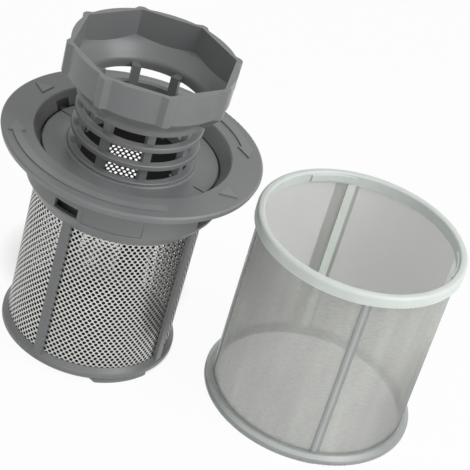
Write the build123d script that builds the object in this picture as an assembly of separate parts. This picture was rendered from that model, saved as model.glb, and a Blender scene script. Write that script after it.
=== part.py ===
from build123d import *
import os
from math import cos, pi, radians, sin

# A cylindrical dishwasher filter in its two units. Both stand on the floor plane Z = 0, side by side along X.
# The main filter is on the -X side, and the micro filter that slides over it is on the +X side.
# All lengths are millimetres and all angles are degrees.

# Places and turns of the two units
main_x = -53.0
main_turn = -23.6
micro_x = 62.4
micro_turn = 10.3

# Flange of the main filter
flange_radius = 62.9
flange_height = 113.7
flange_plate = 2.6
lip_depth = 4.0
lip_wall = 2.4
lip_draft = 1.3
flange_edge_round = 1.1

# Recess of the flange, where the coarse insert sits
recess_spread = 3.8
recess_bevel = 0.6
recess_floor_inset = 4.1
recess_wall_foot = 6.6
seat_ledge = 4.6
seat_thickness = 2.2
seat_clearance = 0.2
dish_edge_clearance = 0.7

# Collar under the flange
collar_proud = 6.14
collar_wall = 2.2
collar_drop = 23.2
taper_drop = 30.5
taper_end_proud = 1.14
slot_width = 13.0
slot_height = 5.0
slot_drop = 19.2
panel_depth = 0.25
panel_start = -79.4
panel_end = -44.4
panel_top_drop = 15.2
panel_height = 7.6

# Perforated stainless sheet and the ribs that hold it
sheet_radius = 41.06
sheet_thickness = 0.5
sheet_gap = 0.05
sheet_bottom = 4.0
rib_count = 4
rib_width = 4.3
rib_proud = 2.0
rib_relief = 0.05
hole_columns = 16
hole_ratio = 0.5
hole_rows = 8
hole_sides = 8
seam_width = 14.0

# Foot ring and its bayonet lugs
foot_proud = 2.49
foot_lip = 1.66
foot_height = 8.2
foot_underside = 2.2
foot_chamfer = 1.1
lug_start = -52.0
lug_sweep = 42.0
lug_ramp = 4.0
lug_count = 2
lug_edge_inset = 0.9

# Raised marks on the flange
mark_height = 0.6
mark_root = 0.5
mark_middle_share = 0.52
arrow_shaft_share = 0.27
arrow_head_share = 0.53
triangle_share = 0.5
arrow_tail = -40.2
arrow_neck = -132.9
arrow_tip = -142.4
triangle_half_angle = 5.0

# Coarse insert: dish, rings and bars
dish_drop = 6.5
dish_thickness = 2.3
cage_ring_inner = 27.0
cage_ring_outer = 30.5
cage_ring_thickness = 2.8
cage_ring_pitch = 9.62
cage_ring_edge = 0.6
base_ring_height = 2.3
base_ring_fillet = 1.2
bar_count = 8
bar_depth = 3.0
bar_embed = 0.6
bar_inner_width = 4.6
bar_outer_width = 3.6
bar_top_overlap = 2.9
tongue_angle = -4.4
tongue_width = 3.2
tongue_reach = 2.5
notch_start = -9.8
notch_end = 1.2
notch_clearance = 0.5
slit_width = 0.9
slit_reach = 6.4

# Handle cup on top of the cage
neck_inner_radius = 28.8
neck_wall = 2.7
neck_gap = 0.05
neck_rise = 22.0
cup_bottom_rise = 32.7
cup_height = 15.1
cup_corner_radius = 41.6
cup_draft = 0.3
cup_floor = 2.2
cup_wall = 1.6
lobe_depth = 1.3
lobe_half_width = 4.0
lobe_crest_half_width = 1.2
lobe_round = 0.9
side_bulge = 1.5
funnel_inset = 0.6
shelf_rise = 34.4
shelf_side_drop = 1.5
lip_radius = 3.5
lip_turn = 50.0
shelf_slope = 15.0
web_count = 4
web_width = 3.0
web_foot_reach = 3.0
web_foot_rise = 3.2
web_inset = 1.0

# Micro filter: rims, ribs and mesh sleeve
micro_height = 102.4
micro_rim_clearance = 0.6
micro_rim_width = 3.9
micro_rim_height = 6.2
micro_rim_round = 1.7
micro_rim_inner_round = 1.1
sleeve_inset = 1.25
sleeve_thickness = 0.3
sleeve_gap = 0.05
sleeve_embed = 2.4
stop_reach = 1.0
stop_top_drop = 0.5
stop_height = 3.3
stop_sweep = 28.0
base_rim_proud = 3.95
base_rim_height = 4.6
base_rim_edge = 0.8
base_rim_flat = 2.4
base_rim_shoulder_proud = 1.55
base_rim_lip = 1.45
micro_rib_count = 4
micro_rib_width = 3.9
micro_rib_inner_proud = 1.0
micro_rib_outer_proud = 0.6
rib_end_gap = 0.05
seam_start = 85.5
seam_end = 99.3
seam_thickness = 0.25

# Radii that follow from the sheet, outwards to the micro filter that slides over the collar
foot_radius = sheet_radius + foot_proud
foot_inner_radius = sheet_radius - foot_lip
collar_radius = sheet_radius + collar_proud
taper_end_radius = sheet_radius + taper_end_proud
recess_floor_radius = collar_radius - recess_floor_inset
recess_mouth_radius = recess_floor_radius + recess_spread
seat_inner_radius = recess_floor_radius - seat_ledge
bar_outer_radius = cage_ring_inner + bar_embed
bar_inner_radius = bar_outer_radius - bar_depth
web_reach = cup_corner_radius - web_inset
micro_rim_inner = collar_radius + micro_rim_clearance
micro_rim_outer = micro_rim_inner + micro_rim_width
sleeve_radius = micro_rim_inner + sleeve_inset
base_rim_radius = sleeve_radius + base_rim_proud
base_rim_shoulder = sleeve_radius + base_rim_shoulder_proud
base_rim_inner = sleeve_radius - base_rim_lip

# Heights and other sizes that follow
dish_top = flange_height - dish_drop
dish_bottom = dish_top - dish_thickness
seat_height = dish_bottom - seat_clearance
collar_foot = flange_height - collar_drop
taper_foot = flange_height - taper_drop
dish_radius = recess_floor_radius - dish_edge_clearance
base_ring_top = dish_top + base_ring_height
neck_outer_radius = neck_inner_radius + neck_wall
neck_bottom = flange_height + neck_rise
bar_top = neck_bottom + bar_top_overlap
cup_bottom = flange_height + cup_bottom_rise
cup_top = cup_bottom + cup_height
shelf_height = flange_height + shelf_rise
sheet_bore = sheet_radius + sheet_gap
taper_slope = (collar_radius - taper_end_radius) / (collar_foot - taper_foot)
taper_wall = collar_wall * (1 + taper_slope**2) ** 0.5
land_inner = recess_mouth_radius + recess_bevel
land_width = flange_radius - land_inner
mark_middle = land_inner + mark_middle_share * land_width
arrow_shaft_inner = mark_middle - arrow_shaft_share * land_width / 2
arrow_shaft_outer = mark_middle + arrow_shaft_share * land_width / 2
arrow_head_inner = mark_middle - arrow_head_share * land_width / 2
arrow_head_outer = mark_middle + arrow_head_share * land_width / 2
triangle_base = mark_middle - triangle_share * land_width / 2
triangle_apex = mark_middle + triangle_share * land_width / 2
grip_top = taper_foot + (sheet_bore + taper_wall - taper_end_radius) / taper_slope
sheet_top = seat_height - seat_thickness - sheet_gap


def at(radius, angle, height=0.0):
    """A point by its distance from the axis, its angle and its height."""
    return (radius * cos(radians(angle)), radius * sin(radians(angle)), height)


def ring_about_axis(outline, rounds=()):
    """Turns a closed (radius, height) outline round Z. rounds lists (corner, radius) pairs."""
    face = make_face(Polyline(*outline, close=True))
    for corner, size in rounds:
        nearest = face.vertices().sort_by_distance((*outline[corner], 0))[0]
        face = fillet(nearest, size)
    return revolve(Plane.XZ * face, Axis.Z)


def sector(inner, outer, start, end, low, high):
    """A piece of a tube between two radii, two angles and two heights."""
    wedge = make_face(
        [
            Line(at(inner, start), at(outer, start)),
            CenterArc((0, 0), outer, start, end - start),
            Line(at(outer, end), at(inner, end)),
            CenterArc((0, 0), inner, start, end - start),
        ]
    )
    return Pos(0, 0, low) * extrude(wedge, high - low)


def round_the_axis(shape, count, phase=0.0):
    """Copies a shape evenly round Z."""
    return [Rot(0, 0, phase + index * 360 / count) * shape for index in range(count)]


def flange_and_collar():
    """Flange with its lip, the recess for the insert, the seat and the tapered collar."""
    plate_underside = flange_height - flange_plate
    lip_foot = flange_height - lip_depth
    lip_foot_radius = flange_radius - lip_draft
    outline = [
        (seat_inner_radius, seat_height),
        (recess_floor_radius, seat_height),
        (recess_floor_radius, flange_height - recess_wall_foot),
        (recess_mouth_radius, flange_height - recess_bevel),
        (land_inner, flange_height),
        (flange_radius, flange_height),
        (lip_foot_radius, lip_foot),
        (lip_foot_radius - lip_wall, lip_foot),
        (lip_foot_radius - lip_wall, plate_underside),
        (collar_radius, plate_underside),
        (collar_radius, collar_foot),
        (taper_end_radius, taper_foot),
        (sheet_bore, taper_foot),
        (sheet_bore, grip_top),
        (collar_radius - collar_wall, collar_foot + collar_wall / 4),
        (collar_radius - collar_wall, seat_height - seat_thickness),
        (seat_inner_radius, seat_height - seat_thickness),
    ]
    rounds = [(5, flange_edge_round), (6, flange_edge_round / 2), (9, collar_wall / 2), (10, collar_wall)]
    return ring_about_axis(outline, rounds)


def foot_ring():
    """Rounded ring that closes the frame below, with a groove that holds the sheet's lower edge."""
    groove_inner = sheet_radius - sheet_thickness - sheet_gap
    outline = [
        (foot_inner_radius, foot_underside),
        (foot_radius - foot_chamfer, foot_underside),
        (foot_radius, foot_underside + foot_chamfer),
        (foot_radius, foot_height - (foot_radius - sheet_bore)),
        (sheet_bore + sheet_gap, foot_height),
        (sheet_bore, foot_height),
        (sheet_bore, sheet_bottom - sheet_gap),
        (groove_inner, sheet_bottom - sheet_gap),
        (groove_inner, foot_height),
        (foot_inner_radius, foot_height),
    ]
    return ring_about_axis(outline, [(3, foot_chamfer), (2, foot_chamfer / 2)])


def bayonet_lug():
    """A lug under the foot ring, with a ramp where it starts."""
    outer = foot_radius - lug_edge_inset
    block = sector(foot_inner_radius, outer, lug_start + lug_ramp, lug_start + lug_sweep, 0, foot_underside)
    middle = (foot_inner_radius + outer) / 2
    ramp_run = radians(lug_ramp) * middle
    ramp_side = Polygon((0, 0), (ramp_run, 0), (0, -foot_underside), align=None)
    ramp = extrude(Plane.XZ * ramp_side, outer, both=True)
    ramp = Pos(0, middle, foot_underside) * ramp
    ramp = Rot(0, 0, lug_start + lug_ramp - 90) * ramp
    keep = sector(foot_inner_radius, outer, lug_start, lug_start + lug_ramp, 0, foot_underside)
    return block + (ramp & keep)


def curved_arrow():
    """Outline of a broad curved arrow round the flange."""
    neck_outer, neck_inner = at(arrow_shaft_outer, arrow_neck), at(arrow_shaft_inner, arrow_neck)
    head_outer, head_inner = at(arrow_head_outer, arrow_neck), at(arrow_head_inner, arrow_neck)
    tail_bulge = 180 / pi * (arrow_shaft_outer - arrow_shaft_inner) / 2 / mark_middle
    tip = at(mark_middle, arrow_tip)
    return make_face(
        [
            CenterArc((0, 0), arrow_shaft_outer, arrow_tail, arrow_neck - arrow_tail),
            Polyline(neck_outer, head_outer, tip, head_inner, neck_inner),
            CenterArc((0, 0), arrow_shaft_inner, arrow_tail, arrow_neck - arrow_tail),
            ThreePointArc(
                at(arrow_shaft_inner, arrow_tail),
                at(mark_middle, arrow_tail + tail_bulge),
                at(arrow_shaft_outer, arrow_tail),
            ),
        ]
    )


def flange_marks():
    """Two arrows for the locking turn and two triangles for the locked place."""
    triangle = make_face(
        Polyline(
            at(triangle_base, triangle_half_angle),
            at(triangle_apex, 0),
            at(triangle_base, -triangle_half_angle),
            close=True,
        )
    )
    marks = [extrude(outline, mark_height + mark_root) for outline in (curved_arrow(), triangle)]
    return [Pos(0, 0, flange_height - mark_root) * copy for mark in marks for copy in round_the_axis(mark, 2)]


def strainer_frame():
    """The grey moulding round the sheet: flange, recess, collar, ribs and foot."""
    rib = sector(
        sheet_bore + rib_relief,
        sheet_radius + rib_proud,
        -rib_width / 2 / sheet_radius * 180 / pi,
        rib_width / 2 / sheet_radius * 180 / pi,
        foot_height - rib_proud,
        grip_top - sheet_gap,
    )
    frame = flange_and_collar() + flange_marks()
    frame += foot_ring()
    frame += round_the_axis(rib, rib_count)
    frame += round_the_axis(bayonet_lug(), lug_count)
    slot_middle = flange_height - slot_drop
    slot = Pos(collar_radius - collar_wall / 2, 0, slot_middle) * Box(4 * collar_wall, slot_width, slot_height)
    frame -= round_the_axis(slot, rib_count)
    panel_top = flange_height - panel_top_drop
    frame -= sector(
        collar_radius - panel_depth,
        collar_radius + panel_depth,
        panel_start,
        panel_end,
        panel_top - panel_height,
        panel_top,
    )
    notch = sector(
        recess_floor_radius - seat_clearance,
        dish_radius + tongue_reach + notch_clearance,
        notch_start,
        notch_end,
        seat_height,
        flange_height,
    )
    frame -= round_the_axis(notch, 2)
    return frame


def perforated_sheet():
    """Stainless tube with staggered holes. The real holes are round and finer, in the same proportions."""
    tube = Cylinder(sheet_radius, sheet_top - sheet_bottom, align=(Align.CENTER, Align.CENTER, Align.MIN))
    bore = Cylinder(
        sheet_radius - sheet_thickness, sheet_top - sheet_bottom, align=(Align.CENTER, Align.CENTER, Align.MIN)
    )
    sheet = Pos(0, 0, sheet_bottom) * (tube - bore)
    step = 360 / hole_columns
    column_pitch = radians(step) * sheet_radius
    row_pitch = (taper_foot - foot_height) / hole_rows
    half_rib = rib_width / sheet_radius * 180 / pi
    seam_from, seam_to = 90, 90 + seam_width / sheet_radius * 180 / pi
    hole_radius = hole_ratio * column_pitch / 2 / cos(pi / hole_sides)
    hole_outline = RegularPolygon(hole_radius, hole_sides, rotation=180 / hole_sides)
    hole = extrude(Plane.YZ * hole_outline, 4 * sheet_thickness, both=True)
    holes = []
    for row in range(hole_rows):
        height = foot_height + (row + 0.5) * row_pitch
        for column in range(hole_columns):
            angle = (column + (0.5 if row % 2 else 0.0)) * step
            on_rib = min(angle % 90, 90 - angle % 90) < half_rib
            in_seam = seam_from < angle < seam_to
            if on_rib or in_seam:
                continue
            holes.append(Rot(0, 0, angle) * Pos(sheet_radius - sheet_thickness / 2, 0, height) * hole)
    return sheet - holes


def coarse_cage():
    """Dish, stacked rings and the bars inside them, in one moulding."""
    dish = ring_about_axis(
        [
            (cage_ring_inner, dish_bottom),
            (dish_radius, dish_bottom),
            (dish_radius, dish_top),
            (cage_ring_outer, dish_top),
            (cage_ring_outer, base_ring_top),
            (cage_ring_inner, base_ring_top),
        ],
        [(2, cage_ring_edge), (3, base_ring_fillet), (4, cage_ring_edge)],
    )
    ring = ring_about_axis(
        [
            (cage_ring_inner, -cage_ring_thickness),
            (cage_ring_outer, -cage_ring_thickness),
            (cage_ring_outer, 0),
            (cage_ring_inner, 0),
        ],
        [(1, cage_ring_edge), (2, cage_ring_edge)],
    )
    cage = dish
    for level in (1, 2):
        cage += Pos(0, 0, base_ring_top + level * cage_ring_pitch) * ring
    bar_section = Polygon(
        (bar_inner_radius, -bar_inner_width / 2),
        (bar_outer_radius, -bar_outer_width / 2),
        (bar_outer_radius, bar_outer_width / 2),
        (bar_inner_radius, bar_inner_width / 2),
        align=None,
    )
    bar = Pos(0, 0, dish_bottom) * extrude(bar_section, bar_top - dish_bottom)
    shoulder_half = bar_outer_width / 2 / neck_inner_radius * 180 / pi
    shoulder_foot = bar_inner_radius + neck_wall / 2
    shoulder_face = neck_inner_radius - neck_gap
    shoulder = sector(shoulder_foot, shoulder_face, -shoulder_half, shoulder_half, neck_bottom, bar_top)
    cage += round_the_axis(bar + shoulder, bar_count)
    tongue_half = tongue_width / 2 / dish_radius * 180 / pi
    tongue = sector(
        dish_radius - tongue_reach,
        dish_radius + tongue_reach,
        tongue_angle - tongue_half,
        tongue_angle + tongue_half,
        dish_bottom,
        dish_top - cage_ring_edge,
    )
    cage += round_the_axis(tongue, 2)
    slit = Pos(dish_radius, 0, dish_bottom) * Box(2 * slit_reach, slit_width, 4 * dish_thickness)
    cage -= round_the_axis(slit, 2)
    return cage


def side_radius(corner_radius):
    """How far the bulging middle of each side of the grip is from the axis."""
    return (corner_radius - lobe_depth) * cos(radians(22.5)) + side_bulge


def lobed_outline(corner_radius):
    """Eight slightly bulging sides whose corners stand out as narrow lobes with sloping flanks."""
    crest_inset = lobe_crest_half_width * sin(radians(22.5))
    flank_radius = corner_radius - lobe_depth
    side_turn = 90 + 22.5
    corners = []
    for corner in range(8):
        turn = 45 * corner
        forward = at(1, turn + side_turn)
        backward = at(1, turn - side_turn)
        base = at(flank_radius, turn)
        crest = at(corner_radius - crest_inset, turn)
        across = at(lobe_crest_half_width, turn + 90)
        corners.append(
            [
                (base[0] + lobe_half_width * backward[0], base[1] + lobe_half_width * backward[1]),
                (crest[0] - across[0], crest[1] - across[1]),
                (crest[0] + across[0], crest[1] + across[1]),
                (base[0] + lobe_half_width * forward[0], base[1] + lobe_half_width * forward[1]),
            ]
        )
    edges = []
    for corner, lobe in enumerate(corners):
        following = corners[(corner + 1) % 8]
        middle = at(side_radius(corner_radius), 45 * corner + 22.5)[:2]
        edges += [Polyline(*lobe), ThreePointArc(lobe[-1], middle, following[0])]
    face = make_face(edges)
    return fillet(face.vertices(), lobe_round)


def handle_cup():
    """Lobed grip ring round an octagonal room whose floor funnels down to the neck, with webs below."""
    lip_height = neck_bottom + bar_top_overlap
    room_corner = cup_corner_radius - cup_draft - lobe_depth - cup_wall
    room_side = room_corner * cos(radians(22.5))
    foot_side = side_radius(cup_corner_radius - cup_draft) - funnel_inset
    wall = loft(
        [
            Pos(0, 0, cup_bottom) * lobed_outline(cup_corner_radius - cup_draft),
            Pos(0, 0, cup_top) * lobed_outline(cup_corner_radius),
        ],
        ruled=True,
    )
    funnel = ring_about_axis(
        [
            (neck_inner_radius - neck_wall, neck_bottom),
            (neck_outer_radius, neck_bottom),
            (neck_outer_radius, lip_height + lip_radius / 4),
            (foot_side, cup_bottom),
            (room_side, cup_bottom + cup_floor),
            (neck_inner_radius - neck_wall, cup_bottom + cup_floor),
        ],
        [(2, lip_radius)],
    )
    lip_end = (
        neck_inner_radius + lip_radius * (1 - cos(radians(lip_turn))),
        lip_height + lip_radius * sin(radians(lip_turn)),
    )
    side_end = (room_side, shelf_height - shelf_side_drop)
    corner_end = (room_corner, shelf_height)
    hollow_face = make_face(
        [
            Polyline(
                corner_end,
                (0, shelf_height),
                (0, neck_bottom - neck_wall),
                (neck_inner_radius, neck_bottom - neck_wall),
                (neck_inner_radius, lip_height),
            ),
            CenterArc((neck_inner_radius + lip_radius, lip_height), lip_radius, 180, -lip_turn),
            Spline(
                lip_end,
                side_end,
                corner_end,
                tangents=[
                    (sin(radians(lip_turn)), cos(radians(lip_turn))),
                    (cos(radians(shelf_slope)), sin(radians(shelf_slope))),
                ],
            ),
        ]
    )
    room_outline = RegularPolygon(room_corner, 8)
    room_outline = fillet(room_outline.vertices(), lobe_round)
    hollow = revolve(Plane.XZ * hollow_face, Axis.Z)
    hollow &= Pos(0, 0, neck_bottom - neck_wall) * extrude(room_outline, cup_top)
    room = Pos(0, 0, shelf_height) * extrude(room_outline, cup_top)
    web_section = Polygon(
        (neck_inner_radius + neck_wall / 2, neck_bottom + web_foot_rise),
        (neck_outer_radius + web_foot_reach, neck_bottom + web_foot_rise),
        (web_reach, cup_bottom),
        (web_reach, cup_bottom + cup_draft),
        (neck_inner_radius + neck_wall / 2, cup_bottom + cup_draft),
        align=None,
    )
    web = extrude(Plane.XZ * web_section, web_width / 2, both=True)
    cup = wall + funnel
    cup += round_the_axis(web, web_count)
    return cup - hollow - room


def micro_top_rim():
    """Rounded off-white rim with a groove for the mesh and two stops inside."""
    low = micro_height - micro_rim_height
    groove_inner = sleeve_radius - sleeve_thickness - sleeve_gap
    groove_outer = sleeve_radius + sleeve_gap
    groove_top = low + sleeve_embed + sleeve_gap
    rim = ring_about_axis(
        [
            (micro_rim_inner, low),
            (groove_inner, low),
            (groove_inner, groove_top),
            (groove_outer, groove_top),
            (groove_outer, low),
            (micro_rim_outer, low),
            (micro_rim_outer, micro_height),
            (micro_rim_inner, micro_height),
        ],
        [(6, micro_rim_round), (7, micro_rim_inner_round), (5, micro_rim_inner_round / 2)],
    )
    stop_top = micro_height - micro_rim_inner_round - stop_top_drop
    for start in (-stop_sweep, 90):
        rim += sector(
            micro_rim_inner - stop_reach,
            micro_rim_inner + stop_reach / 2,
            start,
            start + stop_sweep,
            stop_top - stop_height,
            stop_top,
        )
    return rim


def micro_lower_frame():
    """Flared lower rim and four ribs that run up both faces of the mesh."""
    groove_inner = sleeve_radius - sleeve_thickness - sleeve_gap
    groove_outer = sleeve_radius + sleeve_gap
    groove_foot = base_rim_height - sleeve_embed - sleeve_gap
    rim = ring_about_axis(
        [
            (base_rim_inner, 0),
            (base_rim_radius, 0),
            (base_rim_radius, base_rim_flat),
            (base_rim_shoulder, base_rim_height),
            (groove_outer, base_rim_height),
            (groove_outer, groove_foot),
            (groove_inner, groove_foot),
            (groove_inner, base_rim_height),
            (base_rim_inner, base_rim_height),
        ],
        [(1, base_rim_edge), (2, base_rim_edge)],
    )
    half = micro_rib_width / 2 / sleeve_radius * 180 / pi
    rib_foot = base_rim_height - sleeve_embed / 2
    rib_top = micro_height - micro_rim_height - rib_end_gap
    inner_rib = sector(groove_inner - micro_rib_inner_proud, groove_inner, -half, half, rib_foot, rib_top)
    outer_rib = sector(groove_outer, groove_outer + micro_rib_outer_proud, -half, half, rib_foot, rib_top)
    rim += round_the_axis(inner_rib, micro_rib_count)
    return rim + round_the_axis(outer_rib, micro_rib_count)


def micro_mesh_sleeve():
    """Fine mesh rolled into a tube, with its two welded overlap strips beside one rib."""
    low = base_rim_height - sleeve_embed
    high = micro_height - micro_rim_height + sleeve_embed
    inner = sleeve_radius - sleeve_thickness
    sleeve = ring_about_axis([(inner, low), (sleeve_radius, low), (sleeve_radius, high), (inner, high)])
    rib_half = (micro_rib_width / 2 + sleeve_gap) / sleeve_radius * 180 / pi
    strip_low = base_rim_height + sleeve_gap
    strip_high = micro_height - micro_rim_height - sleeve_gap
    for start, end in ((seam_start, 90 - rib_half), (90 + rib_half, seam_end)):
        sleeve += sector(inner - seam_thickness, inner + seam_thickness / 2, start, end, strip_low, strip_high)
    return sleeve


main_place = Pos(main_x, 0, 0) * Rot(0, 0, main_turn)
micro_place = Pos(micro_x, 0, 0) * Rot(0, 0, micro_turn)

pieces = {
    "strainer_frame": (main_place, strainer_frame),
    "perforated_sheet": (main_place, perforated_sheet),
    "coarse_cage": (main_place, coarse_cage),
    "handle_cup": (main_place, handle_cup),
    "micro_top_rim": (micro_place, micro_top_rim),
    "micro_lower_frame": (micro_place, micro_lower_frame),
    "micro_mesh_sleeve": (micro_place, micro_mesh_sleeve),
}

os.makedirs("parts", exist_ok=True)
for name, (place, make) in pieces.items():
    piece = place * make()
    export_step(piece, f"parts/{name}.step")
    print(name, len(piece.solids()), round(piece.volume), piece.bounding_box().size)
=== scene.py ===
# %% [markdown]
# # A dishwasher filter, dressed for its picture
#
# The filter comes as two units. The grey main filter has a flange, a perforated steel body and a coarse
# insert with an octagonal grip. The pale micro filter is a sleeve of woven cloth between two plastic
# rims. The imported model gives every piece its place, so this script only adds looks. It loads the model
# first, and later reads the heights of two pieces from their boxes.

# %% Load the frame
import math
import bpy
from mathutils import Matrix, Vector


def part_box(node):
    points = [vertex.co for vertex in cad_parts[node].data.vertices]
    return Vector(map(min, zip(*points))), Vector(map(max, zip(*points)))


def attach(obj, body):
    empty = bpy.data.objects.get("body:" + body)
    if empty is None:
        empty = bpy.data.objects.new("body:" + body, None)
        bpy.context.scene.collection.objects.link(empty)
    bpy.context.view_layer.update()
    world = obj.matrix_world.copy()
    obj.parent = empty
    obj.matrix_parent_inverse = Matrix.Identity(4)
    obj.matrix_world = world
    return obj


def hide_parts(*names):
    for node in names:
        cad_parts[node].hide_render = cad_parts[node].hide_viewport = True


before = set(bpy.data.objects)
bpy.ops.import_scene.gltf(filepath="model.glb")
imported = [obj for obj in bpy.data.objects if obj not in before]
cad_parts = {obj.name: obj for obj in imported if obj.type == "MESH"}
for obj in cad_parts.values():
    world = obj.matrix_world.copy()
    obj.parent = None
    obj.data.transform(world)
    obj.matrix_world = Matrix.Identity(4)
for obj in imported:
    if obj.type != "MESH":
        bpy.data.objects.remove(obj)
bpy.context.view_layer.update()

print("nodes:", sorted(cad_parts))

# %% [markdown]
# ## Sizes that the pieces share
#
# Blender works in metres here, so lengths are written in millimetres and multiplied once. The two axes
# are the lines round which nearly every form of the filter is turned. The cloth's radius and thickness
# stay plain millimetres, because its pattern is counted in them.

# %% Shared sizes
MM = 0.001
main_axis = Vector((-53.0 * MM, 0, 0))
micro_axis = Vector((62.4 * MM, 0, 0))
main_turn = math.radians(-23.6)
micro_turn = math.radians(10.3)
flange_height = 113.7 * MM
cloth_radius, cloth_thickness = 49.05, 0.3
print("the axes stand", round((micro_axis - main_axis).length / MM, 1), "mm apart")

# %% [markdown]
# ## Camera
#
# The place, turn and lens of the camera were solved from the round edges in the photograph. The three
# directions are the camera's right, down and forward. Blender's camera looks along its own -Z with +Y up,
# so two of them change sign.

# %% Camera
camera_right = Vector((0.95738, 0.1574, 0.24217))
camera_down = Vector((0.28882, -0.52674, -0.79945))
camera_forward = Vector((0.00173, 0.83532, -0.54976))
camera_place = (3.69 * MM, -678.3 * MM, 525.12 * MM)
camera_data = bpy.data.cameras.new("photo_camera")
camera_data.sensor_width = 36.0
camera_data.lens = 130.03
camera_data.clip_start = 0.01
camera_data.clip_end = 20.0
camera = bpy.data.objects.new("photo_camera", camera_data)
camera_turn = Matrix((camera_right, -camera_down, -camera_forward)).transposed().to_4x4()
camera.matrix_world = Matrix.Translation(camera_place) @ camera_turn
bpy.context.scene.collection.objects.link(camera)
bpy.context.scene.camera = camera
print("camera stands", round(camera.matrix_world.translation.length, 3), "m from the filter")

# %% [markdown]
# ## A short way to write node trees
#
# Node trees grow long when each node is made and linked by hand. The class below wraps one output socket,
# so that a line such as `1 - mask * 0.5` adds its own Math nodes. Every other node inside a tree comes
# from `add_node`. Colours must not pass through Math nodes, which turn them grey, so a later helper mixes
# them, and distances are measured with Vector Math. The same class serves the materials and the geometry.

# %% Signals
class Signal:
    """One output socket of a node tree, with the operators of plain arithmetic."""

    def __init__(self, tree, socket):
        self.tree, self.socket = tree, socket

    def math(self, operation, first, second=0.0):
        """A Math node in this signal's tree, on two numbers or signals."""
        return add_node(self.tree, "ShaderNodeMath", {"operation": operation}, {0: first, 1: second})

    def __add__(self, other):
        return self.math("ADD", self, other)

    def __sub__(self, other):
        return self.math("SUBTRACT", self, other)

    def __mul__(self, other):
        return self.math("MULTIPLY", self, other)

    def __truediv__(self, other):
        return self.math("DIVIDE", self, other)

    def __radd__(self, other):
        return self.math("ADD", other, self)

    def __rsub__(self, other):
        return self.math("SUBTRACT", other, self)

    def __rmul__(self, other):
        return self.math("MULTIPLY", other, self)

    def __rtruediv__(self, other):
        return self.math("DIVIDE", other, self)

    def sine(self):
        return self.math("SINE", self)

    def cosine(self):
        return self.math("COSINE", self)

    def size(self):
        return self.math("ABSOLUTE", self)

    def modulo(self, other):
        return self.math("FLOORED_MODULO", self, other)

    def larger(self, other):
        return self.math("MAXIMUM", self, other)

    def smaller(self, other):
        return self.math("MINIMUM", self, other)

    def above(self, limit):
        return self.math("GREATER_THAN", self, limit)

    def below(self, limit):
        return self.math("LESS_THAN", self, limit)

    def between(self, low, high):
        return self.above(low) * self.below(high)


def add_node(tree, kind, settings=None, values=None, output=0):
    """Adds a node, sets it, feeds its inputs, and returns one output as a signal."""
    node = tree.nodes.new(kind)
    for name, value in (settings or {}).items():
        setattr(node, name, value)
    for name, value in (values or {}).items():
        socket = node.inputs[name]
        if isinstance(value, Signal):
            tree.links.new(value.socket, socket)
        else:
            socket.default_value = value
    return Signal(tree, node.outputs[output])


def point(tree, x, y, z):
    """A vector from three numbers or signals."""
    return add_node(tree, "ShaderNodeCombineXYZ", {}, {"X": x, "Y": y, "Z": z})


def part_of(tree, vector, axis):
    """One of the three numbers of a vector."""
    return add_node(tree, "ShaderNodeSeparateXYZ", {}, {0: vector}, output="XYZ".index(axis))


print("signals ready")

# %% [markdown]
# ## A base for every finish
#
# Each finish is one Principled shader. What is the same all over the surface is set on the shader's own
# sockets. What changes over the surface, such as a speckle or a mask, comes in as a signal.

# %% Principled base
def opaque(red, green, blue):
    """A colour with the alpha that a colour socket wants."""
    return (red, green, blue, 1.0)


BLACK, WHITE = opaque(0.0, 0.0, 0.0), opaque(1.0, 1.0, 1.0)


def start_finish(name, **constants):
    """A material with one Principled shader. Returns the material, its tree and the shader."""
    material = bpy.data.materials.new(name)
    material.use_nodes = True
    tree = material.node_tree
    shader = tree.nodes["Principled BSDF"]
    for socket, value in constants.items():
        shader.inputs[socket.replace("_", " ")].default_value = value
    return material, tree, shader


def feed(tree, node, socket, signal):
    """Links a signal to one socket of a node, such as the shader."""
    tree.links.new(signal.socket, node.inputs[socket])


def blend_colour(tree, factor, first, second):
    """Mixes two colours by a factor."""
    values = {0: factor, 6: first, 7: second}
    return add_node(tree, "ShaderNodeMix", {"data_type": "RGBA"}, values, output=2)


def speckle(tree, where, scale, detail, roughness=0.5):
    """Cloudy noise between 0 and 1."""
    values = {"Vector": where, "Scale": scale, "Detail": detail, "Roughness": roughness}
    return add_node(tree, "ShaderNodeTexNoise", {}, values)


def bump(tree, height, strength, distance):
    """A normal that leans with a height signal. The distance is in metres."""
    values = {"Height": height, "Strength": strength, "Distance": distance}
    return add_node(tree, "ShaderNodeBump", {}, values)


print("finish helpers ready")

# %% [markdown]
# ## Where a finish changes
#
# Some finishes change from place to place: the steel is painted dark inside its roll, a painted shade, and
# clear plastic has a painted highlight along a crest. The first helpers measure a place by its distance
# from an axis or its angle round it. The others turn such a measure into a mask between 0 and 1. A mask
# saves a second material, and it moves with the piece, because Object coordinates belong to the piece.

# %% Places and masks
def place(tree):
    """Object coordinates, which are metres in the model's own frame."""
    return add_node(tree, "ShaderNodeTexCoord", output="Object")


def distance_from(tree, where, axis):
    """How far a place is from a vertical line."""
    offset = add_node(tree, "ShaderNodeVectorMath", {"operation": "SUBTRACT"}, {0: where, 1: axis})
    no_height = {0: offset, 1: (1.0, 1.0, 0.0)}
    flat = add_node(tree, "ShaderNodeVectorMath", {"operation": "MULTIPLY"}, no_height)
    return add_node(tree, "ShaderNodeVectorMath", {"operation": "LENGTH"}, {0: flat}, output="Value")


def east_of(tree, where, axis):
    """How far a place is towards +X from a vertical line."""
    return part_of(tree, where, "X") - axis.x


def angle_round(tree, where, axis):
    """The angle of a place round a vertical line, in radians, with 0 towards +X."""
    east = east_of(tree, where, axis)
    return east.math("ARCTAN2", part_of(tree, where, "Y"), east)


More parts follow.
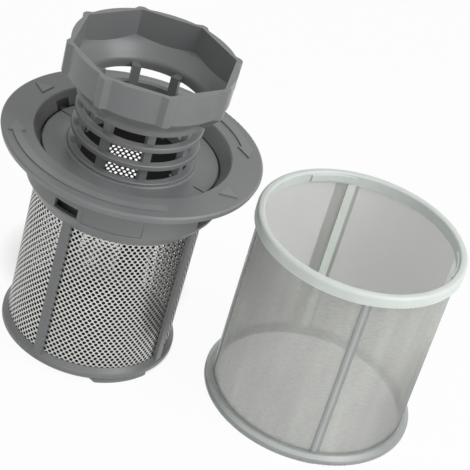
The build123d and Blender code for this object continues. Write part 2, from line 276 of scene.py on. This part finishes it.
def ramp(tree, signal, low, high, start=0.0, end=1.0):
    """Carries a signal from one range to another, and stops at the ends."""
    values = {"Value": signal, "From Min": low, "From Max": high, "To Min": start, "To Max": end}
    return add_node(tree, "ShaderNodeMapRange", {}, values)


def fade(tree, signal, low, high):
    """Falls from 1 to 0 as a signal rises from low to high."""
    return ramp(tree, signal, low, high, 1.0, 0.0)


def band(tree, signal, start, full, fading, end):
    """1 in a band of a signal. It rises from start to full, and falls from fading to end."""
    return ramp(tree, signal, start, full) * fade(tree, signal, fading, end)


print("masks ready")

# %% [markdown]
# ## Grey moulded plastic
#
# The frame, the cage and the grip are moulded in one grey polypropylene. It is satin, with a very fine
# grain from the mould and slow, cloudy changes of gloss where hands and hot water have worked on it. The
# tops of the raised arrows carry a faint painted highlight. The wall of the recess round the insert has
# painted shade, darker towards its foot and on the left, where little light gets in.

# %% Grey plastic
mark_heights = (flange_height + 0.2 * MM, flange_height + 0.4 * MM)
mark_reaches = (49.0 * MM, 49.5 * MM)
recess_reaches = (42.6 * MM, 42.9 * MM, 46.95 * MM, 47.1 * MM)
recess_heights = (104.0 * MM, 104.2 * MM)
# The heights and sides of the painted shade on the recess wall.
recess_shade_heights = (106.0 * MM, 112.5 * MM)
recess_shade_sides = (0.2, 0.8)  # 0 is the front or the back, and 1 is the far left


def make_grey_plastic(name, colour, shade, mark_highlight, recess_shade):
    """Satin grey plastic, with a painted highlight on the marks and painted shade in the recess."""
    material, tree, shader = start_finish(name, IOR=1.5)
    where = place(tree)
    cloud = speckle(tree, where, scale=45.0, detail=3.0)
    fine = speckle(tree, where, scale=900.0, detail=3.0)
    grain = speckle(tree, where, scale=2600.0, detail=2.0)
    height, reach = part_of(tree, where, "Z"), distance_from(tree, where, main_axis)
    on_marks = ramp(tree, height, *mark_heights) * ramp(tree, reach, *mark_reaches)
    in_recess = band(tree, reach, *recess_reaches) * ramp(tree, height, *recess_heights)
    # Painted shade: darker towards the foot of the recess wall and on its left.
    low_shade = ramp(tree, height, *recess_shade_heights, start=0.2, end=0.0)
    west = (main_axis.x - part_of(tree, where, "X")) / reach
    left_shade = ramp(tree, west, *recess_shade_sides, start=0.0, end=0.5)
    tone = blend_colour(tree, ramp(tree, cloud * 0.7 + fine * 0.3, 0.35, 0.65), shade, colour)
    # The tops of the marks are lightened a little, a painted highlight.
    tone = blend_colour(tree, on_marks * 0.05, tone, mark_highlight)
    tone = blend_colour(tree, in_recess * (low_shade + left_shade), tone, recess_shade)
    roughness = ramp(tree, cloud * 0.6 + fine * 0.4, 0.3, 0.7, start=0.3, end=0.42)
    feed(tree, shader, "Base Color", tone)
    feed(tree, shader, "Roughness", roughness)
    feed(tree, shader, "Normal", bump(tree, grain, strength=0.25, distance=0.06 * MM))
    return material


grey_plastic = make_grey_plastic(
    "grey_plastic",
    colour=opaque(0.215, 0.22, 0.222),
    shade=opaque(0.195, 0.2, 0.203),
    # A painted highlight for the marks, and a nearly black painted shade for the recess.
    mark_highlight=opaque(0.8, 0.8, 0.8),
    recess_shade=opaque(0.02, 0.02, 0.02),
)
print("made", grey_plastic.name)

# %% [markdown]
# ## Pale plastic
#
# The top rim of the micro filter is off-white with a hint of green. Its gloss, its grain and a slow
# cloudiness are the same on every pale moulding, so they have a helper of their own.

# %% Pale plastic
def finish_moulding(tree, shader, where, tone, roughness):
    """The gloss, grain and slow cloudiness that every pale moulding shares."""
    cloud = speckle(tree, where, scale=60.0, detail=3.0)
    grain = speckle(tree, where, scale=1800.0, detail=2.0)
    darker = ramp(tree, cloud, 0.35, 0.65, start=0.06, end=0.0)
    gloss = ramp(tree, cloud, 0.3, 0.7, start=roughness, end=roughness + 0.12)
    feed(tree, shader, "Base Color", blend_colour(tree, darker, tone, BLACK))
    feed(tree, shader, "Roughness", gloss)
    feed(tree, shader, "Normal", bump(tree, grain, strength=0.2, distance=0.04 * MM))


def make_pale_plastic(name, colour):
    """Off-white plastic."""
    material, tree, shader = start_finish(name, IOR=1.5)
    finish_moulding(tree, shader, place(tree), colour, roughness=0.34)
    return material


pale_plastic = make_pale_plastic("pale_plastic", opaque(0.74, 0.79, 0.755))
print("made", pale_plastic.name)

# %% [markdown]
# ## Clear plastic
#
# The lower rim and its ribs are the same plastic without the white pigment, so light goes a little way
# into them. Light and shade are painted into their colour: a painted highlight along the crest of the rim
# and the middle of a rib, painted shade near their edges and on the right of the rim, and painted light on
# the inner face of a rib, where light comes through the rib. A faint emission there is a painted glow.
#
# The four ribs are a quarter turn apart, so the sine of four times the angle is 0 at the middle of each.
# Times a quarter of the radius it tells, close to a rib, how many millimetres a place is from the rib's
# middle.

# %% Clear plastic
rib_count = 4
# Where the painted highlights and the painted shade lie on the ribs and the rim.
rib_highlight_span, rib_shade_edge = (0.3, 0.7), (1.3, 1.6)  # in millimetres beside the middle
rib_foot = (4.7 * MM, 5.0 * MM)
rib_inner_face = (48.7 * MM, 48.8 * MM)
rim_highlight_span = (50.6 * MM, 51.1 * MM, 52.4 * MM, 52.6 * MM)
rim_shade_span = (18 * MM, 45 * MM)


def make_clear_plastic(name, dark, light, pale, painted_glow):
    """Half clear plastic with painted highlights on its crests, painted shade at its edges and painted
    light on its inner faces.
    """
    material, tree, shader = start_finish(name, IOR=1.5, Transmission_Weight=0.5, Emission_Strength=1.0)
    where = place(tree)
    reach = distance_from(tree, where, micro_axis)
    turned = (angle_round(tree, where, micro_axis) - micro_turn) * rib_count
    beside_rib = (turned.sine() * (cloth_radius / rib_count)).size()
    on_rib = ramp(tree, part_of(tree, where, "Z"), *rib_foot)
    on_rim = 1.0 - on_rib
    # Painted highlight on the crest of the rim and the middle of a rib, painted shade at the rib's edges.
    crest = band(tree, reach, *rim_highlight_span)
    middle = ramp(tree, beside_rib, *rib_highlight_span, start=1.0, end=0.3) * fade(tree, beside_rib, *rib_shade_edge)
    # Painted light on the inner face of a rib, and painted shade on the right of the rim.
    inner = fade(tree, reach, *rib_inner_face) * on_rib
    right = ramp(tree, east_of(tree, where, micro_axis), *rim_shade_span)
    tone = blend_colour(tree, crest * on_rim + middle * on_rib, dark, light)
    tone = blend_colour(tree, right * on_rim, tone, dark)
    tone = blend_colour(tree, inner, tone, pale)
    finish_moulding(tree, shader, where, tone, roughness=0.28)
    # The inner face of a rib glows faintly: a painted glow.
    feed(tree, shader, "Emission Color", blend_colour(tree, inner, BLACK, painted_glow))
    return material


clear_plastic = make_clear_plastic(
    "clear_grey_plastic",
    # A shaded and a lit copy of the plastic, the painted light of the inner faces, and a painted glow.
    dark=opaque(0.52, 0.545, 0.535),
    light=opaque(0.82, 0.86, 0.845),
    pale=opaque(0.84, 0.87, 0.84),
    painted_glow=opaque(0.12, 0.13, 0.12),
)
print("made", clear_plastic.name)

# %% [markdown]
# ## Perforated steel
#
# The body of the main filter is thin stainless sheet, punched and rolled. Outside it is bright with a
# fine grain along the roll, and greyer in an arc on its right, a painted dark reflection. Inside it is
# dull and rough, and painted nearly black, a painted shade, because little light gets in. The distance
# from the filter's axis tells the shader which side it is on. The sheet is 0.5 mm thick, and its outer
# skin lies 41.06 mm from the axis.

# %% Perforated steel
outer_skin_reaches = (40.96 * MM, 41.04 * MM)
# The arc on the right that takes the painted dark reflection.
dark_reflection_arc = (math.radians(-24), math.radians(-20), 0.2, 0.9)  # in radians


def make_steel(name, colour, shade, dark_reflection, inside_shade, gloss):
    """Bright steel outside with a painted dark reflection, and dull steel painted dark as shade inside and
    in the walls of the holes.
    """
    material, tree, shader = start_finish(name)
    where = place(tree)
    stretched = add_node(tree, "ShaderNodeMapping", {}, {"Vector": where, "Scale": (1.0, 1.0, 12.0)})
    grain = speckle(tree, stretched, scale=260.0, detail=4.0, roughness=0.6)
    cloud = speckle(tree, where, scale=40.0, detail=2.0)
    outside = ramp(tree, distance_from(tree, where, main_axis), *outer_skin_reaches)
    # The arc on the right is greyed, a painted dark reflection.
    in_arc = band(tree, angle_round(tree, where, main_axis), *dark_reflection_arc)
    bright = blend_colour(tree, in_arc, blend_colour(tree, cloud, shade, colour), dark_reflection)
    roughness = ramp(tree, grain, 0.3, 0.7, start=gloss - 0.07, end=gloss + 0.07)
    # Inside the roll the colour is nearly black, a painted shade.
    feed(tree, shader, "Base Color", blend_colour(tree, outside, inside_shade, bright))
    feed(tree, shader, "Metallic", outside)
    feed(tree, shader, "Roughness", roughness + (1.0 - outside) * 0.4)
    feed(tree, shader, "Normal", bump(tree, grain, strength=0.2, distance=0.03 * MM))
    return material


sheet_steel = make_steel(
    "perforated_steel",
    colour=opaque(0.69, 0.695, 0.67),
    shade=opaque(0.53, 0.535, 0.515),
    # A painted dark reflection, and the painted shade of the inside.
    dark_reflection=opaque(0.3, 0.3, 0.29),
    inside_shade=opaque(0.05, 0.05, 0.048),
    gloss=0.32,
)
print("made", sheet_steel.name)

# %% [markdown]
# ## Woven cloth
#
# The sleeve of the micro filter is cloth of fine steel wire. The threads are far too thin to model one by
# one, so they are a pattern in the shader: two sets of ridges at right angles, which raise the surface
# and let light through between them. The ridges follow the sleeve's own UV map, which counts millimetres
# round it and up it. Where the cloth overlaps at its seam it is double, so less light comes through.
#
# Long upright streaks and short cross threads of lighter wire run over the cloth. It has painted shade
# low on the right and high on the left, where less light falls on it, and painted light inside, where
# light comes through the cloth.

# %% Woven cloth
cloth_faces = (48.8 * MM, 49.0 * MM)
right_side, low_part = (15 * MM, 42 * MM), (35 * MM, 70 * MM)
left_side, high_part = (-42 * MM, -20 * MM), (50 * MM, 80 * MM)


def make_cloth(name, thread_gap, seam, light, dark, grey, inner, double):
    """Woven wire whose pattern is in millimetres of the UV map."""
    material, tree, shader = start_finish(name, Metallic=0.1, Roughness=0.6)
    where = place(tree)
    inside = fade(tree, distance_from(tree, where, micro_axis), *cloth_faces)
    uv = add_node(tree, "ShaderNodeUVMap", {"uv_map": "cloth"})
    across, along = part_of(tree, uv, "X"), part_of(tree, uv, "Y")
    turns = math.tau / thread_gap
    warp, weft = (across * turns).sine(), (along * turns).sine()
    thread = (warp * 0.5 + 0.5).larger(weft * 0.5 + 0.5)
    seam_middle, seam_half = (seam[0] + seam[1]) / 2, (seam[1] - seam[0]) / 2
    doubled = fade(tree, (across - seam_middle).size(), seam_half, seam_half + 0.4)
    streaks = speckle(tree, point(tree, across * 0.07, along * 0.012, 0.0), scale=1.0, detail=2.0)
    threads = point(tree, across * 0.3, along * 1.5, 2.0)
    mottle = speckle(tree, threads, scale=1.0, detail=3.0, roughness=0.7)
    east, height = east_of(tree, where, micro_axis), part_of(tree, where, "Z")
    # Painted shade, low on the right and high on the left.
    low_right_shade = ramp(tree, east, *right_side) * fade(tree, height, *low_part)
    high_left_shade = fade(tree, east, *left_side) * ramp(tree, height, *high_part)
    tone = blend_colour(tree, ramp(tree, streaks * 0.5 + mottle * 0.5, 0.36, 0.64), dark, light)
    tone = blend_colour(tree, low_right_shade * 0.8 + high_left_shade * 0.6, tone, grey)
    # The inside is painted lighter, a painted light.
    tone = blend_colour(tree, inside, tone, inner)
    cover = ramp(tree, thread, 0.0, 1.0, start=0.43, end=0.63) + doubled * 0.25
    feed(tree, shader, "Base Color", blend_colour(tree, doubled * 0.5, tone, double))
    feed(tree, shader, "Alpha", cover.smaller(1.0))
    feed(tree, shader, "Normal", bump(tree, thread, strength=0.3, distance=0.05 * MM))
    return material


seam_span = [cloth_radius * (math.radians(angle) + micro_turn) for angle in (85.5, 99.3)]
fine_cloth = make_cloth(
    "fine_mesh",
    thread_gap=0.42,
    seam=seam_span,
    light=opaque(0.60, 0.61, 0.575),
    dark=opaque(0.40, 0.41, 0.385),
    # The painted shade, and the painted light of the inside.
    grey=opaque(0.16, 0.165, 0.155),
    inner=opaque(0.84, 0.845, 0.82),
    double=opaque(0.34, 0.345, 0.33),
)
print("made", fine_cloth.name, "with a seam", round(seam_span[1] - seam_span[0], 1), "mm wide")

# %% [markdown]
# ## Building with Geometry Nodes
#
# What repeats on the filter is grown by Geometry Nodes. `start_tree` begins a tree with named inputs.
# `grow` puts the tree on an empty object, sets the inputs, and turns the result into a plain mesh,
# because the exported model can't hold live modifiers or instances. `settle` ends every new mesh: soft
# shading that keeps edges sharp past 40 degrees, and an object at the origin.

# %% Starting and ending a tree
SOCKET_KINDS = {int: "NodeSocketInt", float: "NodeSocketFloat", bpy.types.Material: "NodeSocketMaterial"}
SHARP_ANGLE = math.radians(40)


def start_tree(name, **inputs):
    """A geometry tree with named inputs. Returns the tree and its inputs as signals."""
    tree = bpy.data.node_groups.new(name, "GeometryNodeTree")
    tree.interface.new_socket("Geometry", in_out="OUTPUT", socket_type="NodeSocketGeometry")
    for label, value in inputs.items():
        tree.interface.new_socket(label, in_out="INPUT", socket_type=SOCKET_KINDS[type(value)])
    source = tree.nodes.new("NodeGroupInput")
    return tree, {label: Signal(tree, source.outputs[label]) for label in inputs}


def end_tree(tree, geometry, material):
    """Makes instances real, gives the material and closes the tree."""
    real = add_node(tree, "GeometryNodeRealizeInstances", {}, {"Geometry": geometry})
    painted = add_node(tree, "GeometryNodeSetMaterial", {}, {"Geometry": real, "Material": material})
    out = tree.nodes.new("NodeGroupOutput")
    tree.links.new(painted.socket, out.inputs["Geometry"])


def settle(name, mesh):
    """Shades a finished mesh and puts it into the scene, at the origin."""
    mesh.shade_smooth()
    mesh.set_sharp_from_angle(angle=SHARP_ANGLE)
    thing = bpy.data.objects.new(name, mesh)
    bpy.context.scene.collection.objects.link(thing)
    triangles = sum(len(face.vertices) - 2 for face in mesh.polygons)
    print(name, "has", triangles, "triangles")
    return thing


def grow(name, tree, inputs):
    """Runs a tree on an empty object and returns the result as a plain mesh object."""
    seed = bpy.data.objects.new(name + "_seed", bpy.data.meshes.new(name + "_seed"))
    bpy.context.scene.collection.objects.link(seed)
    modifier = seed.modifiers.new("grow", "NODES")
    modifier.node_group = tree
    for item in tree.interface.items_tree:
        if item.in_out == "INPUT":
            modifier[item.identifier] = inputs[item.name]
    ready = seed.evaluated_get(bpy.context.evaluated_depsgraph_get())
    mesh = bpy.data.meshes.new_from_object(ready)
    bpy.data.objects.remove(seed)
    mesh.name = name
    return settle(name, mesh)


print("tree helpers ready")

# %% [markdown]
# ## Short names for geometry nodes
#
# The steps of a tree read better as verbs. Each helper here adds the one node that its name tells.

# %% Geometry helpers
def join(tree, *geometries):
    """Several geometries as one."""
    joined = add_node(tree, "GeometryNodeJoinGeometry")
    for geometry in geometries:
        feed(tree, joined.socket.node, "Geometry", geometry)
    return joined


def weld(tree, geometry):
    """Merges points that lie on one another."""
    return add_node(tree, "GeometryNodeMergeByDistance", {}, {"Geometry": geometry, "Distance": 0.002 * MM})


def move_points(tree, geometry, position):
    """Puts each point of a geometry at a new position."""
    return add_node(tree, "GeometryNodeSetPosition", {}, {"Geometry": geometry, "Position": position})


def draw_ring(tree, sides, radius):
    """A flat ring of straight edges."""
    return add_node(tree, "GeometryNodeCurvePrimitiveCircle", {}, {"Resolution": sides, "Radius": radius})


def fill(tree, curve, mode):
    """Faces inside flat curves."""
    return add_node(tree, "GeometryNodeFillCurve", {"mode": mode}, {"Curve": curve})


def lay_tiles(tree, points, choice, tile):
    """A copy of a tile on each chosen point."""
    values = {"Points": points, "Selection": choice, "Instance": tile}
    return add_node(tree, "GeometryNodeInstanceOnPoints", {}, values)


print("geometry helpers ready")

# %% [markdown]
# ## Perforated sheet: the tile
#
# About three and a half thousand holes would be tedious to cut one by one, and a boolean cutter for each
# would be slow. The holes repeat, so the tree fills one small tile round a ready circle. The tile is a
# diamond, one column wide and two rows high. Diamonds in staggered rows fill the sheet without a gap and
# meet corner to corner, so that they can be welded, and each has room for a hole that is taller than one
# row.
#
# Lengths are in metres here, and the seam, the second plain strip and the ribs are in degrees.

# %% Sheet sizes and tile
sheet_low, sheet_high = (corner.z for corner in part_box("perforated_sheet"))
sheet_inputs = {
    "columns": 92,
    "rows": 58,
    "hole_sides": 10,
    "hole_radius": 0.88 * MM,
    "radius": 40.56 * MM,
    "thickness": 0.5 * MM,
    "height": sheet_high - sheet_low,
    "low": sheet_low,
    "plain_rows_below": 2,
    "plain_rows_above": 10,
    "seam_start": 90.0,
    "seam_end": 108.0,
    "strip_start": 137.0,
    "strip_end": 155.5,
    "rib_half": 2.9,
    "turn": main_turn,
    "steel": sheet_steel,
}
sheet_tree, size = start_tree("punched_sheet", **sheet_inputs)
tile_width = size["radius"] * math.tau / size["columns"]
tile_height = size["height"] / size["rows"]
square = draw_ring(sheet_tree, 4, 1.0)
stretch = {"Geometry": square, "Scale": point(sheet_tree, tile_width * 0.5, tile_height, 1.0)}
diamond = add_node(sheet_tree, "GeometryNodeTransform", {}, stretch)
hole = draw_ring(sheet_tree, size["hole_sides"], size["hole_radius"])
plain_tile = fill(sheet_tree, diamond, "NGONS")
holed_tile = fill(sheet_tree, join(sheet_tree, diamond, hole), "TRIANGLES")
print("the tile is drawn")

# %% [markdown]
# ## Perforated sheet: the grid
#
# The tiles go on a grid of points with every second row offset by half a tile. The grid has one more row
# at each end, because a diamond reaches into the rows above and below it. A point's place tells its angle
# round the filter. Where that angle falls on the plain seam strip, on the second plain strip at the back
# or behind a rib, or where the collar or the foot covers the row, the point gets a plain tile.

# %% Grid of tiles
end_rows = 2.0
columns, rows = size["columns"], size["rows"] + end_rows
grid_sizes = {
    "Size X": tile_width * (columns - 1),
    "Size Y": tile_height * (rows - 1),
    "Vertices X": columns,
    "Vertices Y": rows,
}
grid = add_node(sheet_tree, "GeometryNodeMeshGrid", {}, grid_sizes)
spot = add_node(sheet_tree, "GeometryNodeInputPosition")
spot_x, spot_y = part_of(sheet_tree, spot, "X"), part_of(sheet_tree, spot, "Y")
row = add_node(sheet_tree, "GeometryNodeInputIndex").modulo(rows)
stagger = (row + 1.0).modulo(2.0) * tile_width * 0.5
staggered = move_points(sheet_tree, grid, point(sheet_tree, spot_x + stagger, spot_y, 0.0))
print("the grid is laid out")

# %% Plain places
angle = (spot_x / size["radius"] * math.degrees(1.0)).modulo(360.0)
from_rib = ((angle + 45.0).modulo(90.0) - 45.0).size()
on_rib = from_rib.below(size["rib_half"])
on_seam = angle.between(size["seam_start"], size["seam_end"])
on_strip = angle.between(size["strip_start"], size["strip_end"])
low_row = row.below(size["plain_rows_below"] + 0.5)
high_row = row.above(rows - size["plain_rows_above"] - 1.5)
plain = on_rib.larger(on_seam).larger(on_strip).larger(low_row).larger(high_row)
print("the plain places are marked")

# %% [markdown]
# ## Perforated sheet: rolling and thickness
#
# Each point's X becomes an angle and its Y a height, which rolls the flat tiles and closes them on
# themselves. Diamonds that reach past an end of the sheet have their heights pulled back to it, so that
# the ends are flat. The rolled tiles are welded into one skin. An extrusion along the normals gives the
# outer skin and the walls of the holes, and the first skin, turned over, stays as the inside.

# %% Rolled sheet
holed_part = lay_tiles(sheet_tree, staggered, 1.0 - plain, holed_tile)
plain_part = lay_tiles(sheet_tree, staggered, plain, plain_tile)
tiles = {"Geometry": join(sheet_tree, holed_part, plain_part)}
flat = add_node(sheet_tree, "GeometryNodeRealizeInstances", {}, tiles)
bend = spot_x / size["radius"] + size["turn"]
half_height = size["height"] * 0.5
level = spot_y.larger(half_height * -1.0).smaller(half_height)
rolled_place = point(
    sheet_tree,
    bend.cosine() * size["radius"] + main_axis.x,
    bend.sine() * size["radius"],
    level + half_height + size["low"],
)
inner_skin = weld(sheet_tree, move_points(sheet_tree, flat, rolled_place))
outwards = {"Mesh": inner_skin, "Offset Scale": size["thickness"], "Individual": False}
outer_skin = add_node(sheet_tree, "GeometryNodeExtrudeMesh", {"mode": "FACES"}, outwards)
turned_over = add_node(sheet_tree, "GeometryNodeFlipFaces", {}, {"Mesh": inner_skin})
end_tree(sheet_tree, weld(sheet_tree, join(sheet_tree, outer_skin, turned_over)), size["steel"])
punched_sheet = grow("punched_sheet", sheet_tree, sheet_inputs)
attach(punched_sheet, "strainer")
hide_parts("perforated_sheet")

# %% [markdown]
# ## Cloth sleeve
#
# The sleeve is a thin tube. Its profile goes up the outside and down the inside, and is repeated at each
# step round the axis. A UV map counts millimetres, so that the threads of the cloth keep one size and
# follow the sleeve round.

# %% Cloth sleeve
def thin_tube(name, centre, inner, outer, low, high, sides, levels, material):
    """A closed tube about a vertical line, with a UV map in millimetres."""
    profile = [(outer, low + (high - low) * k / levels) for k in range(levels + 1)]
    profile += [(inner, high - (high - low) * k / levels) for k in range(levels + 1)]
    count = len(profile)
    points, faces, uvs = [], [], []
    for side in range(sides):
        turn = math.tau * side / sides
        points += [(centre.x + r * math.cos(turn), r * math.sin(turn), z) for r, z in profile]
        after = (side + 1) % sides
        for step in range(count):
            following = (step + 1) % count
            face = ((side, step), (after, step), (after, following), (side, following))
            faces.append([ring * count + rung for ring, rung in face])
            for arc, (_, rung) in zip((side, side + 1, side + 1, side), face):
                uvs += (math.tau * outer * arc / sides / MM, profile[rung][1] / MM)
    mesh = bpy.data.meshes.new(name)
    mesh.from_pydata(points, [], faces)
    mesh.uv_layers.new(name="cloth").data.foreach_set("uv", uvs)
    mesh.materials.append(material)
    return settle(name, mesh)


sleeve_low, sleeve_high = (corner.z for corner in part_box("micro_mesh_sleeve"))
cloth_sleeve = thin_tube(
    "cloth_sleeve",
    centre=micro_axis,
    inner=(cloth_radius - cloth_thickness) * MM,
    outer=cloth_radius * MM,
    low=sleeve_low,
    high=sleeve_high,
    sides=256,
    levels=12,
    material=fine_cloth,
)
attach(cloth_sleeve, "strainer")
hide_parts("micro_mesh_sleeve")

# %% [markdown]
# ## Finishes for the moulded pieces
#
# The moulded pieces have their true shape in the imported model, so they only take a finish.

# %% Finish the moulded pieces
finishes = {
    "strainer_frame": grey_plastic,
    "coarse_cage": grey_plastic,
    "handle_cup": grey_plastic,
    "micro_top_rim": pale_plastic,
    "micro_lower_frame": clear_plastic,
}
for node, material in finishes.items():
    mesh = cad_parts[node].data
    mesh.materials.clear()
    mesh.materials.append(material)
    print(node, "takes", material.name)

# %% [markdown]
# ## Floor
#
# The photograph is a cut-out on white. The floor shows white to the camera and in reflections, and keeps
# a faint shadow from the lamps. Under the main filter it is painted nearly black, a painted shadow, so that
# the holes of the sheet look into the dark. It is greyer under the micro filter, where it shows through the
# cloth. Behind the main filter it has a soft painted shadow, where the holes of the far side look out on
# it.

# %% Floor
floor_half, floor_level = 3, -0.2 * MM
floor_signs = ((-1, -1), (1, -1), (1, 1), (-1, 1))
floor_corners = [(x * floor_half, y * floor_half, floor_level) for x, y in floor_signs]
floor = bpy.data.objects.new("floor", bpy.data.meshes.new("floor"))
floor.data.from_pydata(floor_corners, [], [(0, 1, 2, 3)])
bpy.context.scene.collection.objects.link(floor)
print("floor laid")

# %% Floor paint
foot_middle, foot_edge = Vector((-51.5 * MM, 3 * MM, 0)), (40.0 * MM, 42.5 * MM)
shade_middle, shade_edge = Vector((-61 * MM, 50 * MM, 0)), (20 * MM, 52 * MM)
cloth_edge = (47.0 * MM, 49.0 * MM)


def white_for_the_eye(tree):
    """1 for rays that reach the eye, straight or by gloss or glass, and 0 for light on the object."""
    rays = [f"Is {kind} Ray" for kind in ("Camera", "Glossy", "Transmission")]
    camera_ray, glossy_ray, glass_ray = (add_node(tree, "ShaderNodeLightPath", output=ray) for ray in rays)
    return camera_ray.larger(glossy_ray).larger(glass_ray)


def make_floor_paint(name, lit, shaded, unlit):
    """Pale paint that is white to the eye, apart from its places of painted shadow."""
    material, tree, shader = start_finish(name, Roughness=0.9)
    where = place(tree)
    in_the_open = ramp(tree, distance_from(tree, where, foot_middle), *foot_edge)
    in_the_shade = fade(tree, distance_from(tree, where, shade_middle), *shade_edge)
    under_the_cloth = fade(tree, distance_from(tree, where, micro_axis), *cloth_edge)
    # Painted shadow: grey in the soft shade behind the main filter, nearly black under the foot.
    tone = blend_colour(tree, in_the_shade * 0.8, lit, shaded)
    feed(tree, shader, "Base Color", blend_colour(tree, in_the_open, unlit, tone))
    glow = add_node(tree, "ShaderNodeEmission", {}, {"Color": WHITE, "Strength": 1.0})
    share = white_for_the_eye(tree) * in_the_open * (0.95 - under_the_cloth * 0.45 - in_the_shade * 0.75)
    layers = {0: share, 1: Signal(tree, shader.outputs[0]), 2: glow}
    shown = add_node(tree, "ShaderNodeMixShader", {}, layers)
    feed(tree, tree.nodes["Material Output"], "Surface", shown)
    return material


floor_paint = make_floor_paint(
    "floor_paint",
    # The lit tone, and the painted shadow behind the main filter and under the foot.
    lit=opaque(0.86, 0.86, 0.86),
    shaded=opaque(0.3, 0.3, 0.3),
    unlit=opaque(0.05, 0.05, 0.05),
)
floor.data.materials.append(floor_paint)
print("made", floor_paint.name)

# %% [markdown]
# ## Light
#
# The world is white to the eye, like the floor, and gives the object a third of that light. Four square
# lamps stand for the soft boxes of a studio, each a metre from the middle of the filter: a strong one
# from the right, and weak ones that fill the left, the front and the right.

# %% World
sky_light = 0.33
world = bpy.data.worlds.new("studio")
world.use_nodes = True
bpy.context.scene.world = world
tree = world.node_tree
back = tree.nodes["Background"]
back.inputs["Color"].default_value = WHITE
feed(tree, back, "Strength", white_for_the_eye(tree) * (1.0 - sky_light) + sky_light)
print("world set")

# %% Lamps
lamp_aim = Vector((0, 0, 60 * MM))
lamp_width = 0.6


def soft_box(name, azimuth, elevation, power):
    """A square lamp that faces the filter. Azimuth 0 is over the viewer's head, and 90 is on the right."""
    turn, rise = math.radians(azimuth), math.radians(elevation)
    toward = Vector((math.sin(turn) * math.cos(rise), -math.cos(turn) * math.cos(rise), math.sin(rise)))
    facing = toward.to_track_quat("Z", "Y").to_matrix().to_4x4()
    lamp = bpy.data.lights.new(name, "AREA")
    lamp.size = lamp_width
    lamp.energy = power
    thing = bpy.data.objects.new(name, lamp)
    thing.matrix_world = Matrix.Translation(lamp_aim + toward) @ facing
    bpy.context.scene.collection.objects.link(thing)
    print(name, "placed")


soft_box("key_light", azimuth=70, elevation=50, power=5.3)
soft_box("left_light", azimuth=-70, elevation=50, power=0.7)
soft_box("front_fill", azimuth=0, elevation=15, power=1.15)
soft_box("right_fill", azimuth=60, elevation=15, power=1.2)
bpy.context.scene.view_settings.view_transform = "Standard"
